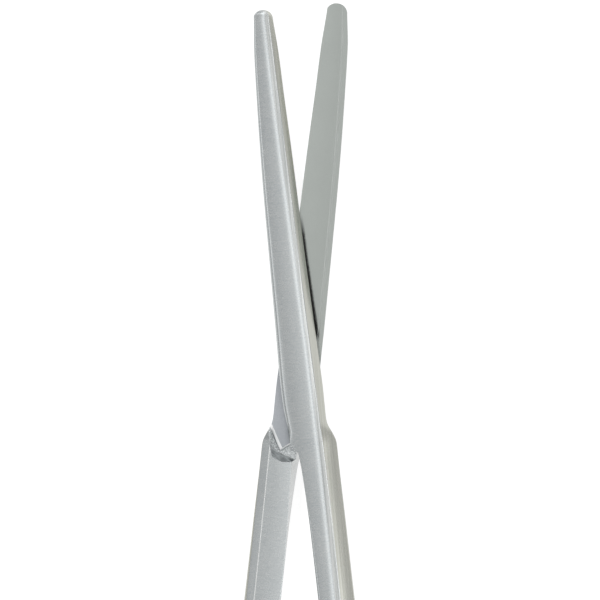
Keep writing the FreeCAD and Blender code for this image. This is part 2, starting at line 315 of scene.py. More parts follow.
def bladeSection(row, half, y):
    spine, ridge, brow, edge, height, land = row
    sizes, backFlat = sectionSizes, instrument["backFlat"]
    halfWidth = half["tipWidth"] / 2
    radius = sizes["tipRadius"] * halfWidth
    bend = y - (half["reach"] - radius)
    if bend > -sizes["taperRun"]:
        limit = halfWidth - sizes["taperSlope"] * min(bend, 0.0)
        if bend > 0:
            limit += math.sqrt(max(radius ** 2 - bend ** 2, 0.0)) - radius
        shrink = min(1.0, limit / min(-spine, edge))
        spine, edge = max(spine, -limit), min(edge, limit)
        ridge, brow = ridge * shrink, min(brow * shrink, edge - sizes["browRoom"] * shrink)
    fade = 1.0
    if y < sizes["fadeStart"]:
        fade = max(0.0, (y - heelEdge[0][0]) / sizes["fadeRun"])
    spineRound = max(instrument["spineRound"] * height * fade, sizes["leastRound"])
    spineRound = min(spineRound, sizes["roundShare"] * (ridge - spine))
    shoulder = (spine + spineRound, crownAt(spine + spineRound, ridge, height))
    slope = 2 * instrument["crown"] * (ridge - shoulder[0])
    corner = (spine, shoulder[1] - slope * spineRound)
    return sectionPoints(
        wallFoot=(spine, -backFlat), wallTop=(spine, corner[1] - spineRound), corner=corner,
        shoulder=shoulder, ridge=ridge, brow=brow, height=height, upper=(edge, land),
        lower=(edge, -instrument["edgeDepth"]),
        innerRidge=(edge - instrument["innerBevel"], -backFlat),
        ease=sizes["bladeEase"], rolled=sizes["bladeRolled"])


def shankSection(row):
    above, below, ridge, brow, edge, innerX, height, foot, depth, low, ease, rolled = row
    left = (above, crownAt(above, ridge, height))
    shoulder = (above + ease, crownAt(above + ease, ridge, height))
    wallFoot = (below, -depth)
    return sectionPoints(
        wallFoot=wallFoot, wallTop=toward(left, wallFoot, ease), corner=left, shoulder=shoulder,
        ridge=ridge, brow=brow, height=height, upper=(edge, foot), lower=(edge, -low),
        innerRidge=(innerX, -depth + sectionSizes["flatCrown"]),
        ease=min(ease, sectionSizes["easeShare"] * (foot + low)), rolled=rolled)


def sectionPoints(wallFoot, wallTop, corner, shoulder, ridge, brow, height, upper, lower,
                  innerRidge, ease, rolled):
    # up the spine's wall, over the outer face, down the edge and back along the inner side
    sizes = sectionSizes
    browEase, innerEase = sizes["browEase"], sizes["innerEase"]
    top = (ridge, height)
    drop = instrument["browDrop"] * min(1.0, (brow - ridge) / sizes["browRun"])
    browPoint = (brow, height - drop)
    roll = min(sizes["roll"], sizes["rollShare"] * (ridge - shoulder[0]))
    crownEnd = (ridge - roll, crownAt(ridge - roll, ridge, height))
    browRoll = min(sizes["browRoll"], sizes["browRollShare"] * (brow - ridge))
    browStart = toward(top, browPoint, browRoll)
    rise = instrument["crown"] * 2 * (ridge - shoulder[0]) * (crownEnd[0] - shoulder[0]) / 2
    crownMiddle = ((shoulder[0] + crownEnd[0]) / 2, crownAt(shoulder[0], ridge, height) + rise)
    bevelStart, bevelEnd = toward(browPoint, upper, browEase), toward(upper, browPoint, ease)
    bevelMiddle = tuple((p + q) / 2 + sizes["bevelCrown"] * abs(r - s) for p, q, r, s in zip(
        bevelStart, bevelEnd, bevelStart[::-1], bevelEnd[::-1]))
    wallFootEnd = toward(wallFoot, corner, rolled * sizes["wallShare"])
    flatStart = toward(wallFoot, innerRidge, rolled)
    ridgeEnd = toward(innerRidge, wallFoot, innerEase)
    flatMiddle = ((flatStart[0] + ridgeEnd[0]) / 2, flatStart[1])
    strips = [
        (straight(wallFootEnd, wallTop, 3), wall),
        (bezier(wallTop, corner, shoulder, 7), face),
        (bezier(shoulder, crownMiddle, crownEnd, 8), face),
        (bezier(crownEnd, top, browStart, 4), face),
        (straight(browStart, toward(browPoint, top, browEase), 2), upperSide),
        (easedCorner(top, browPoint, upper, browEase, 5), upperSide),
        (bezier(bevelStart, bevelMiddle, bevelEnd, 6), flank),
        (easedCorner(browPoint, upper, lower, ease, 4), flank),
        (straight(toward(upper, lower, ease), toward(lower, upper, ease), 2), flank),
        (easedCorner(upper, lower, innerRidge, ease, 4), flank),
        (straight(toward(lower, innerRidge, ease), toward(innerRidge, lower, innerEase), 2), face),
        (easedCorner(lower, innerRidge, wallFoot, innerEase, 4), wall),
        (bezier(ridgeEnd, flatMiddle, flatStart, 8), flat),
        (bezier(flatStart, wallFoot, wallFootEnd, 7), flat),
    ]
    points, regions = [], []
    for strip, region in strips:
        points += strip[:-1]
        regions += [region] * (len(strip) - 1)
    return points, regions


def noseScale(y, reach):
    # share of the height that is left over the last noseLength of the blade
    length, low = instrument["noseLength"], instrument["noseLow"]
    run = (y - (reach - length)) / length
    if run <= 0:
        return 1.0
    return low + (1 - low) * math.sqrt(max(1 - run ** instrument["nosePower"], 0.0))


# where a half has sections; a run is its start, its end and its spacing
sectionPlan = {
    "tipInset": 0.001, "tipRun": 1.7, "tipSections": 23,
    "bladeInset": 2.3, "bladeEnd": 1.0, "bladeStep": 0.6,
    "runs": [(0.9, -9.0, 0.12), (-9.2, -96.4, 0.8)],        # joint, shank
    "leastStep": 0.004, "fixedRoom": 0.03,
}


def stationList(reach):
    plan = sectionPlan
    last = plan["tipSections"] - 1
    stations = [reach - plan["tipInset"] - plan["tipRun"] * (i / last) ** 2
                for i in range(plan["tipSections"])]
    blade = (reach - plan["bladeInset"], plan["bladeEnd"], plan["bladeStep"])
    for y, end, step in [blade] + plan["runs"]:
        while y > end:
            stations.append(y)
            y -= step
    fixed = [y for y, above, below in heelEdge]
    stations = sorted(set(stations).union(fixed), reverse=True)
    kept = [stations[0]]
    for y in stations[1:]:
        room = min(abs(y - stop) for stop in fixed)
        if y in fixed or kept[-1] - y > plan["leastStep"] and room > plan["fixedRoom"]:
            kept.append(y)
    return kept + [shankRows()[-1][0]]


def heelSection(row, y):
    # the inner edge swings across from the heel over the crotch to the shank
    ridge, brow, edge, height, land = row[1:]
    for (y0, above0, below0), (y1, above1, below1) in zip(heelEdge, heelEdge[1:]):
        if y0 >= y >= y1:
            t = (y0 - y) / (y0 - y1)
            above, below = above0 + (above1 - above0) * t, below0 + (below1 - below0) * t
    ease, rolled = shankStations[0][-2:]
    return shankSection((
        above, below, ridge, brow, edge, edge - instrument["innerBevel"], height, land,
        instrument["backFlat"], instrument["edgeDepth"], ease, rolled))


def halfBody(name, half):
    headPlan, shankPlan = headRows(half), shankRows()
    rings = []
    for y in stationList(half["reach"]):
        if y >= heelEdge[0][0]:
            points, regions = bladeSection(rowAt(headPlan, y), half, y)
        elif y > instrument["headEnd"]:
            points, regions = heelSection(rowAt(headPlan, y), y)
        else:
            points, regions = shankSection(rowAt(shankPlan, y))
        nose = noseScale(y, half["reach"])
        rings.append([(x, y, z * nose if z > 0 else z) for x, z in points])
    return gridObject(name, rings, regions)


lap = {
    "pocketDepth": 0.30, "chamfer": 0.12,
    "cutDepth": -4, "toolDepth": -1.0,      # undersides of the cutters
    "bladeTop": 70,             # clear of the tip
    "overlap": 0.01,            # of the joint's cutter over the blade's
    "hollowDepth": 0.20,
    "hollowWidth": 5.36,        # width of the face at which the hollow has its full depth
    "hollowFade": 5.0,          # runs in over this length of the blade
    "hollowLeast": 0.04,
    "hollowStep": 0.6,
    "hollowPast": 1.0,          # past the tip
    "spineLand": 0.95,          # left flat beside the spine
    "hollowLip": 0.30,          # past the cutting edge
    "lipDrop": 0.4,             # share of the lip
    "grooveFoot": 0.30,         # fine groove in the land, distances from the hollow
    "grooveTop": (0.25, 0.05),
    "grooveDepth": 0.03,
}

# seen from above: the pocket's rim along the shoulder, the pad's foot and its top, inside the
# chamfer, and the edge of the pocket's floor beside the pad
farX = 9                        # clear of the half
shoulderRim = [(-farX, -6.9), (0.20, -6.80), (3.70, -5.50), (3.98, -4.90), (4.60, -1.90)]
padOutline = [(4.45, -1.85), (2.41, -5.55), (0.88, -4.46), (-3.0, -1.70), (-farX, -1.70)]
padTop = [(4.10, -1.66), (2.18, -5.14), (0.98, -4.33), (-2.92, -1.56), (-farX, -1.56)]
pocketFoot = [(4.55, -1.97), (2.48, -5.87), (0.75, -4.64), (-3.07, -1.92), (-farX, -1.92)]
lapPlane = instrument["lapGap"] / 2


def lapCutter():
    # leans out to the shoulder's foot
    end = instrument["bladeStart"] + lap["overlap"]
    start, ends = [(farX, -0.7)], [(-farX, end), (farX, end)]
    foot = [(4.60, -1.90), (3.98, -5.54), (3.45, -7.61), (0.17, -7.38), (-farX, -7.0)]
    lower, upper = start + foot + ends, start + shoulderRim[::-1] + ends
    return stackObject("lapCutter", [(lower, lap["cutDepth"]), (upper, lapPlane)], sides=1)


def bladeCutter():
    low, high = instrument["bladeStart"], lap["bladeTop"]
    outline = [(-farX, low), (-farX, high), (farX, high), (farX, low)]
    return stackObject("bladeCutter", [(outline, lap["cutDepth"]), (outline, lapPlane)])


def chamferCutter():
    # breaks the edge of the lap face's pad
    wide, narrow = padTop + shoulderRim, padOutline + shoulderRim
    return stackObject("chamferCutter", [
        (wide, lap["toolDepth"]), (wide, lapPlane), (narrow, lapPlane + lap["chamfer"])])


def pocketCutter():
    # sloped along the pad, upright along the shoulder
    narrow = padOutline + shoulderRim
    floor = pocketFoot + shoulderRim[:-1] + [(4.58, -1.99)]
    return stackObject("pocketCutter", [
        (narrow, lap["toolDepth"]), (narrow, lapPlane + lap["chamfer"]),
        (floor, lapPlane + lap["pocketDepth"])])


def hollowCutter(half):
    plan = headRows(half)
    deep, lift = lap["toolDepth"], lapPlane + lap["grooveDepth"]
    grooveFar, grooveNear = lap["grooveTop"]
    rings = []
    y = half["reach"] + lap["hollowPast"]
    while y > instrument["bladeStart"]:
        spine, ridge, brow, edge, height, land = rowAt(plan, y)
        start = spine + lap["spineLand"]
        depth = lap["hollowDepth"] * (edge - start) / lap["hollowWidth"]
        run = (y - instrument["bladeStart"]) / lap["hollowFade"]
        depth *= min(1.0, max(lap["hollowLeast"], run))
        lip, foot = edge + lap["hollowLip"], start - lap["grooveFoot"]
        points = bezier((start, lapPlane), ((start + edge) / 2, lapPlane + 2 * depth),
                        (edge, lapPlane), 16)
        points += [(lip, lapPlane - lap["lipDrop"] * lap["hollowLip"]), (lip, deep),
                   (foot, deep), (foot, lapPlane), (start - grooveFar, lift),
                   (start - grooveNear, lift)]
        rings.append([(x, y, z) for x, z in points])
        y -= lap["hollowStep"]
    return gridObject("hollowCutter", rings, [0] * len(rings[0]))


def feed(links, socket, value):
    # a number or a colour is set, an output is linked
    if isinstance(value, (int, float, tuple)):
        socket.default_value = value
    else:
        links.new(value, socket)


def mathNode(nodes, links, operation, first, second=None, clamp=False):
    node = nodes.new("ShaderNodeMath")
    node.operation = operation
    node.use_clamp = clamp
    feed(links, node.inputs[0], first)
    if second is not None:
        feed(links, node.inputs[1], second)
    return node.outputs[0]


def vectorOf(nodes, links, x, y, z):
    node = nodes.new("ShaderNodeCombineXYZ")
    for socket, value in zip(node.inputs, (x, y, z)):
        feed(links, socket, value)
    return node.outputs[0]


def partsOf(nodes, links, vector):
    node = nodes.new("ShaderNodeSeparateXYZ")
    links.new(vector, node.inputs[0])
    return node.outputs


def buildRingTree():
    tree = bpy.data.node_groups.new("fingerRing", "GeometryNodeTree")
    for label, kind, value in (
            ("Width", "Float", 0.0225), ("Length", "Float", 0.028), ("Bar Radius", "Float", 0.002),
            ("Height", "Float", 0.0036), ("Path Steps", "Int", 96), ("Bar Steps", "Int", 24)):
        socket = tree.interface.new_socket(
            name=label, in_out="INPUT", socket_type="NodeSocket" + kind)
        socket.default_value = value
    tree.interface.new_socket(name="Finish", in_out="INPUT", socket_type="NodeSocketMaterial")
    tree.interface.new_socket(name="Geometry", in_out="OUTPUT", socket_type="NodeSocketGeometry")
    nodes, links = tree.nodes, tree.links
    start, end = nodes.new("NodeGroupInput"), nodes.new("NodeGroupOutput")
    # an oval path, stretched from a circle one metre wide
    oval = nodes.new("GeometryNodeCurvePrimitiveCircle")
    oval.inputs["Radius"].default_value = 0.5
    links.new(start.outputs["Path Steps"], oval.inputs["Resolution"])
    stretch = nodes.new("GeometryNodeTransform")
    size = vectorOf(nodes, links, start.outputs["Width"], start.outputs["Length"], 1.0)
    links.new(oval.outputs["Curve"], stretch.inputs["Geometry"])
    links.new(size, stretch.inputs["Scale"])
    bar = nodes.new("GeometryNodeCurvePrimitiveCircle")
    links.new(start.outputs["Bar Steps"], bar.inputs["Resolution"])
    links.new(start.outputs["Bar Radius"], bar.inputs["Radius"])
    sweep = nodes.new("GeometryNodeCurveToMesh")
    links.new(stretch.outputs["Geometry"], sweep.inputs["Curve"])
    links.new(bar.outputs["Curve"], sweep.inputs["Profile Curve"])
    # faces ground flat above and below
    place = nodes.new("GeometryNodeInputPosition")
    x, y, z = partsOf(nodes, links, place.outputs["Position"])
    high = mathNode(nodes, links, "MULTIPLY", start.outputs["Height"], 0.5)
    ground = nodes.new("ShaderNodeClamp")
    links.new(z, ground.inputs["Value"])
    links.new(mathNode(nodes, links, "MULTIPLY", high, -1.0), ground.inputs["Min"])
    links.new(high, ground.inputs["Max"])
    move = nodes.new("GeometryNodeSetPosition")
    links.new(sweep.outputs["Mesh"], move.inputs["Geometry"])
    links.new(vectorOf(nodes, links, x, y, ground.outputs[0]), move.inputs["Position"])
    real = nodes.new("GeometryNodeRealizeInstances")
    links.new(move.outputs["Geometry"], real.inputs["Geometry"])
    finish = nodes.new("GeometryNodeSetMaterial")
    links.new(real.outputs["Geometry"], finish.inputs["Geometry"])
    links.new(start.outputs["Finish"], finish.inputs["Material"])
    links.new(finish.outputs["Geometry"], end.inputs["Geometry"])
    return tree


ringTree = buildRingTree()


def ringObject(material):
    ring = fingerRing
    piece = linked("ring", bpy.data.meshes.new("ring"))
    modifier = piece.modifiers.new("fingerRing", "NODES")
    modifier.node_group = ringTree
    values = {
        "Width": ring["width"] * mm * ring["pathShare"],
        "Length": ring["length"] * mm * ring["pathShare"],
        "Bar Radius": ring["barRadius"] * mm, "Height": ring["height"] * mm,
        "Path Steps": ring["pathSteps"], "Bar Steps": ring["barSteps"], "Finish": material,
    }
    for item in ringTree.interface.items_tree:
        if item.in_out == "INPUT":
            modifier[item.identifier] = values[item.name]
    bakeModifiers(piece)
    x, y = ringCentre()
    piece.data.transform(Matrix.Translation((x * mm, y * mm, 0))
                         @ Matrix.Rotation(math.radians(ring["lean"]), 4, "Z"))
    faceOutwards(piece.data)
    return piece


def newGroup(name, inputs, outputs):
    group = bpy.data.node_groups.new(name, "ShaderNodeTree")
    for label, value in inputs:
        socket = group.interface.new_socket(
            name=label, in_out="INPUT", socket_type="NodeSocketFloat")
        socket.default_value = value
    for label in outputs:
        group.interface.new_socket(name=label, in_out="OUTPUT", socket_type="NodeSocketFloat")
    return group, group.nodes.new("NodeGroupInput"), group.nodes.new("NodeGroupOutput")


def noise(nodes, links, vector, scale, detail, roughness=0.5):
    node = nodes.new("ShaderNodeTexNoise")
    node.inputs["Scale"].default_value = scale
    node.inputs["Detail"].default_value = detail
    node.inputs["Roughness"].default_value = roughness
    links.new(vector, node.inputs["Vector"])
    return node.outputs["Fac"]


def roundedNormal(nodes, radius):
    node = nodes.new("ShaderNodeBevel")
    node.samples = 6
    node.inputs["Radius"].default_value = radius * mm
    return node.outputs["Normal"]


brushScales = {"cloud": 240.0, "grain": 5200.0}     # per metre


def buildBrushLines():
    # grinding lines; Turn is their direction about Z, in radians
    group, start, end = newGroup(
        "brushLines", [("Turn", 0.0), ("Fineness", 9000.0), ("Length", 400.0)],
        ["Height", "Cloud", "Grain"])
    nodes, links = group.nodes, group.links
    place = nodes.new("ShaderNodeTexCoord").outputs["Object"]
    turn = nodes.new("ShaderNodeVectorRotate")
    turn.rotation_type = "Z_AXIS"
    links.new(place, turn.inputs["Vector"])
    links.new(start.outputs["Turn"], turn.inputs["Angle"])
    length = start.outputs["Length"]
    stretch = nodes.new("ShaderNodeVectorMath")
    stretch.operation = "MULTIPLY"
    links.new(turn.outputs[0], stretch.inputs[0])
    links.new(vectorOf(nodes, links, length, start.outputs["Fineness"], length), stretch.inputs[1])
    links.new(noise(nodes, links, stretch.outputs[0], 1.0, 2.0, 0.6), end.inputs["Height"])
    links.new(noise(nodes, links, place, brushScales["cloud"], 3.0), end.inputs["Cloud"])
    links.new(noise(nodes, links, place, brushScales["grain"], 2.0), end.inputs["Grain"])
    return group


edgeWidth = 0.10


def buildEdgeWearAndSheen():
    # 1 on crisp edges, 0 on open faces; the lighter colour laid on with it is partly worn edges and
    # partly painted highlight
    group, start, end = newGroup("edgeWearAndSheen", [("Gain", 6.0)], ["Mask"])
    nodes, links = group.nodes, group.links
    dot = nodes.new("ShaderNodeVectorMath")
    dot.operation = "DOT_PRODUCT"
    links.new(roundedNormal(nodes, edgeWidth), dot.inputs[0])
    links.new(nodes.new("ShaderNodeNewGeometry").outputs["Normal"], dot.inputs[1])
    away = mathNode(nodes, links, "SUBTRACT", 1.0, dot.outputs["Value"])
    gained = mathNode(nodes, links, "MULTIPLY", away, start.outputs["Gain"], clamp=True)
    links.new(gained, end.inputs["Mask"])
    return group


brushLines = buildBrushLines()
edgeWearAndSheen = buildEdgeWearAndSheen()


def placeGroup(nodes, group, **values):
    node = nodes.new("ShaderNodeGroup")
    node.node_tree = group
    for label, value in values.items():
        node.inputs[label].default_value = value
    return node


def mixColour(nodes, links, factor, first, second):
    node = nodes.new("ShaderNodeMix")
    node.data_type = "RGBA"
    for index, value in ((0, factor), (6, first), (7, second)):     # the colour sockets
        feed(links, node.inputs[index], value)
    return node.outputs[2]


def ramp(nodes, links, value, start, end, low=0.0, high=1.0):
    node = nodes.new("ShaderNodeMapRange")
    for label, level in (("From Min", start), ("From Max", end), ("To Min", low), ("To Max", high)):
        node.inputs[label].default_value = level
    links.new(value, node.inputs["Value"])
    return node.outputs["Result"]


# painted shade in the slit between the blades, laid into the colour by ambient occlusion
paintedGapShade = {
    "depth": 0.7,               # how far up the shade looks for the other blade
    "samples": 12,
    "open": 0.88, "shaded": 0.84,
    "lowFade": 1.2, "highFade": 3.0,        # at the line's two ends
    "full": 0.6, "none": 0.9,               # distance to the sides of the line
    "colour": (0.004, 0.004, 0.004, 1.0),
}


def paintGapShade(nodes, links, colour, line):
    # painted shade: the dark slit beside the other half's cutting edge, along a line seen from
    # above, is near-black colour laid where ambient occlusion finds the other half close
    (xLow, yLow), (xHigh, yHigh) = [(x * mm, y * mm) for x, y in line]
    near = nodes.new("ShaderNodeAmbientOcclusion")
    near.samples = paintedGapShade["samples"]
    near.inputs["Distance"].default_value = paintedGapShade["depth"] * mm
    x, y, z = partsOf(nodes, links, nodes.new("ShaderNodeTexCoord").outputs["Object"])
    slope = (xHigh - xLow) / (yHigh - yLow)
    across = mathNode(nodes, links, "SUBTRACT", x, mathNode(nodes, links, "MULTIPLY", y, slope))
    across = mathNode(nodes, links, "SUBTRACT", across, xLow - slope * yLow)
    across = mathNode(nodes, links, "ABSOLUTE", across)
    mask = ramp(nodes, links, near.outputs["AO"], paintedGapShade["open"], paintedGapShade["shaded"])
    for other in (ramp(nodes, links, y, yLow, yLow + paintedGapShade["lowFade"] * mm),
                  ramp(nodes, links, y, yHigh, yHigh - paintedGapShade["highFade"] * mm),
                  ramp(nodes, links, across, paintedGapShade["none"] * mm, paintedGapShade["full"] * mm)):
        mask = mathNode(nodes, links, "MULTIPLY", mask, other)
    return mixColour(nodes, links, mask, colour, paintedGapShade["colour"])


def satinSteel(name, turn, settings):
    material = bpy.data.materials.new(name)
    material.use_nodes = True
    nodes, links = material.node_tree.nodes, material.node_tree.links
    shader = nodes["Principled BSDF"]
    shader.inputs["Metallic"].default_value = settings["metal"]
    lines = placeGroup(nodes, brushLines, Turn=turn, Fineness=settings["fineness"],
                       Length=settings["length"]).outputs
    edge = placeGroup(nodes, edgeWearAndSheen, Gain=settings["edgeGain"])
    blotch = mathNode(nodes, links, "MULTIPLY", lines["Cloud"], settings["cloudShare"])
    speck = mathNode(nodes, links, "MULTIPLY", lines["Grain"], settings["grainShare"])
    streak = mathNode(nodes, links, "MULTIPLY", lines["Height"], settings["lineShare"])
    mixed = mathNode(nodes, links, "ADD", mathNode(nodes, links, "ADD", blotch, speck), streak)
    mixed = mathNode(nodes, links, "SUBTRACT", mixed, settings["offset"], clamp=True)
    tone = mixColour(nodes, links, mixed, settings["dark"], settings["light"])
    # lighter edges: partly wear, partly painted highlight
    toned = mixColour(nodes, links, edge.outputs["Mask"], tone, settings["edgeWearAndSheenColour"])
    # painted shade beside the other half's cutting edge
    if "shadeLine" in settings:
        toned = paintGapShade(nodes, links, toned, settings["shadeLine"])
    links.new(toned, shader.inputs["Base Color"])
    polish = ramp(nodes, links, lines["Height"], settings["lineLow"], settings["lineHigh"],
                  settings["smooth"], settings["rough"])
    links.new(polish, shader.inputs["Roughness"])
    bump = nodes.new("ShaderNodeBump")
    bump.inputs["Strength"].default_value = settings["bump"]
    bump.inputs["Distance"].default_value = settings["bumpDepth"] * mm
    links.new(lines["Height"], bump.inputs["Height"])
    links.new(roundedNormal(nodes, settings["round"]), bump.inputs["Normal"])
    links.new(bump.outputs["Normal"], shader.inputs["Normal"])
    return material


steelBase = {
    "lean": 0.0,                # of the grinding lines, from across the half, in radians
    "fineness": 3600.0, "length": 900.0,
    "metal": 1.0, "dark": (0.53, 0.565, 0.58, 1.0), "light": (0.65, 0.67, 0.665, 1.0),
    # colour of the crisp edges: partly wear, partly painted highlight
    "edgeWearAndSheenColour": (0.86, 0.88, 0.88, 1.0), "edgeGain": 3.0,
    "cloudShare": 0.4, "grainShare": 1.6, "lineShare": 0.8, "offset": 0.9,
    "lineLow": 0.3, "lineHigh": 0.7,        # heights of the lines that give smooth and rough
    "smooth": 0.24, "rough": 0.28, "bump": 0.14, "bumpDepth": 0.01, "round": 0.05,
}

lengthwise = math.pi / 2

# what each finish changes in steelBase
finishTable = {
    "Face": {},
    "Flank": {
        "lean": lengthwise, "dark": (0.49, 0.495, 0.45, 1.0), "light": (0.64, 0.645, 0.59, 1.0),
        "fineness": 3800.0, "length": 40.0, "lineShare": 1.6, "cloudShare": 0.1,
        "grainShare": 0.1, "offset": 0.3, "bump": 0.3,
    },
    "Inner": {
        "lean": lengthwise, "metal": 0.5, "dark": (0.315, 0.335, 0.32, 1.0),
        "light": (0.385, 0.41, 0.39, 1.0), "fineness": 5000.0, "length": 120.0, "bump": 0.15,
        "smooth": 0.48, "rough": 0.56, "cloudShare": 0.35, "grainShare": 0.4, "lineShare": 0.3,
        "offset": 0.0,
    },
    "Milled": {
        "lean": 0.5, "metal": 0.5, "dark": (0.13, 0.145, 0.15, 1.0),
        "light": (0.62, 0.65, 0.66, 1.0), "fineness": 4200.0, "length": 800.0, "smooth": 0.35,
        "rough": 0.5, "bump": 1.0, "lineShare": 2.2, "cloudShare": -0.7, "grainShare": -0.5,
        "offset": 0.0,
    },
    # painted highlight: lighter than the faces, so walls and rolled edges show bright lines instead
    # of the shade they lie in
    "Wall": {"dark": (0.72, 0.74, 0.74, 1.0), "light": (0.84, 0.85, 0.84, 1.0)},
    # painted light: lighter than the inner face, to make up for the shade the front half casts on
    # the lap face
    "Lap": {
        "lean": lengthwise, "metal": 0.5, "dark": (0.36, 0.38, 0.405, 1.0),
        "light": (0.44, 0.46, 0.485, 1.0), "smooth": 0.46, "rough": 0.54,
    },
    # painted highlight: near-white, mostly diffuse colour that makes the pad's chamfer a bright
    # line
    "Bright": {
        "metal": 0.3, "dark": (0.78, 0.79, 0.79, 1.0), "light": (0.84, 0.84, 0.84, 1.0),
        "smooth": 0.3, "rough": 0.34, "bump": 0.02,
    },
    "Upper": {
        "lean": lengthwise, "dark": (0.46, 0.48, 0.475, 1.0), "light": (0.66, 0.675, 0.665, 1.0),
        "fineness": 3800.0, "length": 40.0, "lineShare": 2.4, "cloudShare": -0.4,
        "grainShare": -0.3, "offset": 0.35, "bump": 0.25,
    },
    "Flat": {"dark": (0.62, 0.66, 0.675, 1.0), "light": (0.76, 0.785, 0.78, 1.0)},
    "Pocket": {
        "metal": 0.6, "dark": (0.30, 0.32, 0.33, 1.0), "light": (0.86, 0.89, 0.89, 1.0),
        "lineShare": 0.5, "cloudShare": 0.6, "grainShare": 2.6, "offset": 1.4, "smooth": 0.4,
        "rough": 0.5,
    },
}


def halfFinishes(side, turn, extra):
    # extra goes to the inner face only; on the rear half it holds the line of painted shade
    finishes = []
    for label, changes in finishTable.items():
        settings = dict(steelBase, **changes)
        if label == "Inner":
            settings.update(extra)
        finishes.append(satinSteel(side + label, turn + settings["lean"], settings))
    return finishes


pivotScrew = {
    "shoulderRadius": 1.30, "threadRadius": 1.10, "headRadius": 1.90, "headRim": 0.35,
    "headCone": 0.60, "headEase": 0.05,
    "clearance": 0.03, "threadClearance": 0.01,
    "slotWidth": 0.55, "slotDepth": 0.50, "slotTurn": 35.0, "slotPast": 0.5,
    "endHeight": 2.00,          # end of the thread above the meeting plane
    "neck": 0.02,               # end of the shoulder above the meeting plane
    "steps": 64, "sharpAngle": 30,
    "lineTurn": 0.6, "fineness": 5000.0,
}
coneFoot = -instrument["backFlat"] + pivotScrew["headRim"]
coneTop = coneFoot + pivotScrew["headCone"]
boreEnd = 4                     # clear of the half


def paint(piece, materials):
    for material in materials:
        piece.data.materials.append(material)


def smoothed(piece, angle):
    # faces that meet at a wider angle keep a sharp edge
    for polygon in piece.data.polygons:
        polygon.use_smooth = True
    piece.data.set_sharp_from_angle(angle=math.radians(angle))
    modifier = piece.modifiers.new("weighted", "WEIGHTED_NORMAL")
    modifier.keep_sharp = True
    modifier.weight = 100
    bakeModifiers(piece)


def screwBore():
    # right through the rear half, with the seat for the head
    shoulder = pivotScrew["shoulderRadius"] + pivotScrew["clearance"]
    head = pivotScrew["headRadius"] + pivotScrew["clearance"]
    return latheObject("screwBore", [
        (0, boreEnd), (shoulder, boreEnd), (shoulder, coneTop), (head, coneFoot), (head, -boreEnd),
        (0, -boreEnd)], pivotScrew["steps"])


def threadBore():
    # blind, under the front half's ground face
    radius = pivotScrew["threadRadius"] + pivotScrew["threadClearance"]
    top = pivotScrew["endHeight"] + pivotScrew["threadClearance"]
    return latheObject("threadBore", [
        (0, top), (radius, top), (radius, -boreEnd), (0, -boreEnd)], pivotScrew["steps"])


def buildHalf(name, settings):
    finishes = halfFinishes(name, math.radians(-settings["turn"]), settings["finish"])
    piece = halfBody(name + "Half", settings)
    paint(piece, finishes)
    for cutter, used in (
            (lapCutter(), (lapFace, milled)), (bladeCutter(), (inner,)),
            (chamferCutter(), (bright,)), (pocketCutter(), (pocketFloor,)),
            (hollowCutter(settings), (inner,))):
        paint(cutter, [finishes[finish] for finish in used])
        combine(piece, cutter, "DIFFERENCE")
    combine(piece, ringObject(finishes[face]), "UNION")
    if settings["flip"]:
        # its outer face is ground flat at the joint, level with the screw's head
        piece.data.transform(Matrix.Rotation(math.pi, 4, "Y"))
        area = instrument["groundArea"]
        ground = stackObject("ground", [
            (area, instrument["groundDepth"]), (area, -instrument["backFlat"])])
        paint(ground, [finishes[face]])
        combine(piece, ground, "DIFFERENCE")
    bore = screwBore() if settings["flip"] else threadBore()
    paint(bore, [finishes[inner]])
    combine(piece, bore, "DIFFERENCE")
    piece.data.transform(
        Matrix.Translation((0, instrument["pivotY"] * mm, instrument["meetingZ"] * mm))
        @ Matrix.Rotation(math.radians(settings["turn"]), 4, "Z"))
    smoothed(piece, instrument["sharpAngle"])
    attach(piece, name)
    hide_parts(name + "_half")
    print(name, "half built,", len(piece.data.polygons), "faces,",
          len(piece.data.materials), "finishes")


def buildScrew():
    sizes = pivotScrew
    low, end = -instrument["backFlat"], sizes["endHeight"]
    thread, shoulder, head = sizes["threadRadius"], sizes["shoulderRadius"], sizes["headRadius"]
    piece = latheObject("pivotScrew", [
        (0, end), (thread, end), (thread, sizes["neck"]), (shoulder, sizes["neck"]),
        (shoulder, coneTop), (head, coneFoot), (head, low + sizes["headEase"]),
        (head - sizes["headEase"], low), (0, low)], sizes["steps"])
    ground = dict(steelBase, fineness=sizes["fineness"])
    finish = satinSteel("screwSteel", sizes["lineTurn"], ground)
    paint(piece, [finish])
    reach, width = head + sizes["slotPast"], sizes["slotWidth"] / 2
    outline = [(-reach, -width), (reach, -width), (reach, width), (-reach, width)]
    slot = stackObject("slot", [(outline, low - 1), (outline, low + sizes["slotDepth"])])
    slot.data.transform(Matrix.Rotation(math.radians(sizes["slotTurn"]), 4, "Z"))
    paint(slot, [finish])
    combine(piece, slot, "DIFFERENCE")
    piece.data.transform(
        Matrix.Translation((0, instrument["pivotY"] * mm, instrument["meetingZ"] * mm)))
    smoothed(piece, sizes["sharpAngle"])
    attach(piece, "front")
    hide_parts("pivot_screw")
    print("screw built")


for name, settings in halves.items():
    buildHalf(name, settings)
buildScrew()


